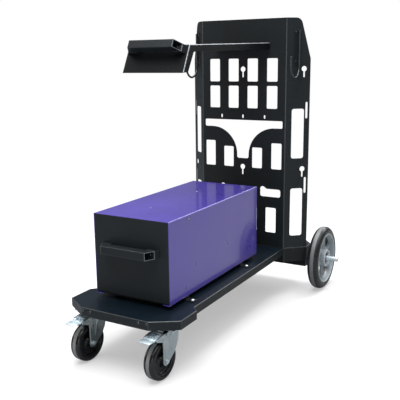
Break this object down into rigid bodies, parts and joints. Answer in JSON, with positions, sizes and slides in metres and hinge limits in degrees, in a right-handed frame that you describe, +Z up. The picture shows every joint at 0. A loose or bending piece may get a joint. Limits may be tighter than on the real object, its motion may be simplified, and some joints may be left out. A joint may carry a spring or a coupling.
{
  "type": "mig welder on cart",
  "caption": "Folded sheet-steel welding cart with swivel casters, large rear wheels, slotted upright, shelf with push handle, and a long equipment case with a drawer.",
  "frame": {"origin": "centre of the bounding box at floor level, under the middle of the cart", "axes": "+Z up, -Y the front (casters and drawer), +X the cart's left-to-right width seen from the front"},
  "size_m": [0.73, 1.2153, 1.101],
  "materials": {
    "black_sheet": "satin powder coat",
    "black_screws": "black finish",
    "zinc": "bright zinc plate",
    "rubber": "moulded",
    "purple_sheet": "gloss powder coat",
    "slides": "zinc plate",
    "hub_plastic": "moulded",
    "tyre": "moulded rubber",
    "bright_axle": "bright zinc plate",
    "grey_rim": "satin paint"
  },
  "bodies": {
    "cart": {"deck": "black_sheet", "caster_channel": "black_sheet", "flange_screws": "black_screws", "rear_platform": "black_sheet", "axle_carrier": "black_sheet", "joint_bolts": "zinc", "upright": "black_sheet", "upright_bolts": "zinc", "shelf": "black_sheet", "shelf_bolts": "zinc", "push_handle_stubs": "black_sheet", "push_handle_bar": "black_sheet", "push_handle_screws": "zinc", "hook_straps": "black_sheet", "cable_hooks": "black_sheet", "hook_screws": "black_screws", "case_feet": "rubber", "case_base": "black_sheet", "case_sleeve": "purple_sheet", "case_back": "black_sheet", "hold_down_tabs": "black_sheet", "tab_screws": "zinc", "case_rivets": "zinc", "slide_outers": "slides", "drawer_bumpers": "rubber", "caster_plates": "zinc", "caster_plate_bolts": "zinc", "kingpins": "zinc", "rear_axle": "bright_axle", "axle_washers": "zinc", "split_pins": "zinc"},
    "slide_middle_pair": {"slide_middles": "slides"},
    "drawer": {"slide_inners": "slides", "drawer_tray": "black_sheet", "drawer_front": "black_sheet", "drawer_handle_stubs": "black_sheet", "drawer_handle_bar": "black_sheet", "drawer_handle_screws": "zinc"},
    "left_swivel": {"left_fork": "zinc", "left_pedal_pin": "zinc", "left_axle_bolt": "zinc", "left_bush": "zinc"},
    "left_brake_pedal": {"left_pedal": "zinc"},
    "left_caster_wheel": {"left_caster_hub": "hub_plastic", "left_caster_tyre": "tyre"},
    "right_swivel": {"right_fork": "zinc", "right_pedal_pin": "zinc", "right_axle_bolt": "zinc", "right_bush": "zinc"},
    "right_brake_pedal": {"right_pedal": "zinc"},
    "right_caster_wheel": {"right_caster_hub": "hub_plastic", "right_caster_tyre": "tyre"},
    "left_rear_wheel": {"left_rear_tyre": "tyre", "left_rear_rim": "grey_rim", "left_rear_bearings": "zinc"},
    "right_rear_wheel": {"right_rear_tyre": "tyre", "right_rear_rim": "grey_rim", "right_rear_bearings": "zinc"}
  },
  "joints": [
    {"name": "left_swivel_turn", "type": "hinge", "parent": "cart", "child": "left_swivel", "pos_m": [-0.139, -0.492, 0.155], "axis": [0, 0, 1], "continuous": true},
    {"name": "left_caster_roll", "type": "hinge", "parent": "left_swivel", "child": "left_caster_wheel", "pos_m": [-0.14179, -0.5319, 0.0625], "axis": [0.9976, -0.0698, 0], "continuous": true},
    {"name": "left_pedal_tilt", "type": "hinge", "parent": "left_swivel", "child": "left_brake_pedal", "pos_m": [-0.14137, -0.52592, 0.146], "axis": [0.9976, -0.0698, 0], "range_deg": [0, 14]},
    {"name": "right_swivel_turn", "type": "hinge", "parent": "cart", "child": "right_swivel", "pos_m": [0.139, -0.492, 0.155], "axis": [0, 0, 1], "continuous": true},
    {"name": "right_caster_roll", "type": "hinge", "parent": "right_swivel", "child": "right_caster_wheel", "pos_m": [0.13621, -0.5319, 0.0625], "axis": [0.9976, -0.0698, 0], "continuous": true},
    {"name": "right_pedal_tilt", "type": "hinge", "parent": "right_swivel", "child": "right_brake_pedal", "pos_m": [0.13663, -0.52592, 0.146], "axis": [0.9976, -0.0698, 0], "range_deg": [0, 14]},
    {"name": "left_rear_roll", "type": "hinge", "parent": "cart", "child": "left_rear_wheel", "pos_m": [-0.295, 0.477, 0.13], "axis": [1, 0, 0], "continuous": true},
    {"name": "right_rear_roll", "type": "hinge", "parent": "cart", "child": "right_rear_wheel", "pos_m": [0.295, 0.477, 0.13], "axis": [1, 0, 0], "continuous": true},
    {"name": "drawer_pull", "type": "slide", "parent": "cart", "child": "drawer", "axis": [0, -1, 0], "range_m": [0, 0.5]},
    {"name": "middle_slide", "type": "slide", "parent": "cart", "child": "slide_middle_pair", "axis": [0, -1, 0], "range_m": [0, 0.25]}
  ],
  "couplings": [
    {"joint": "middle_slide", "follows": "drawer_pull", "ratio": 0.5}
  ]
}
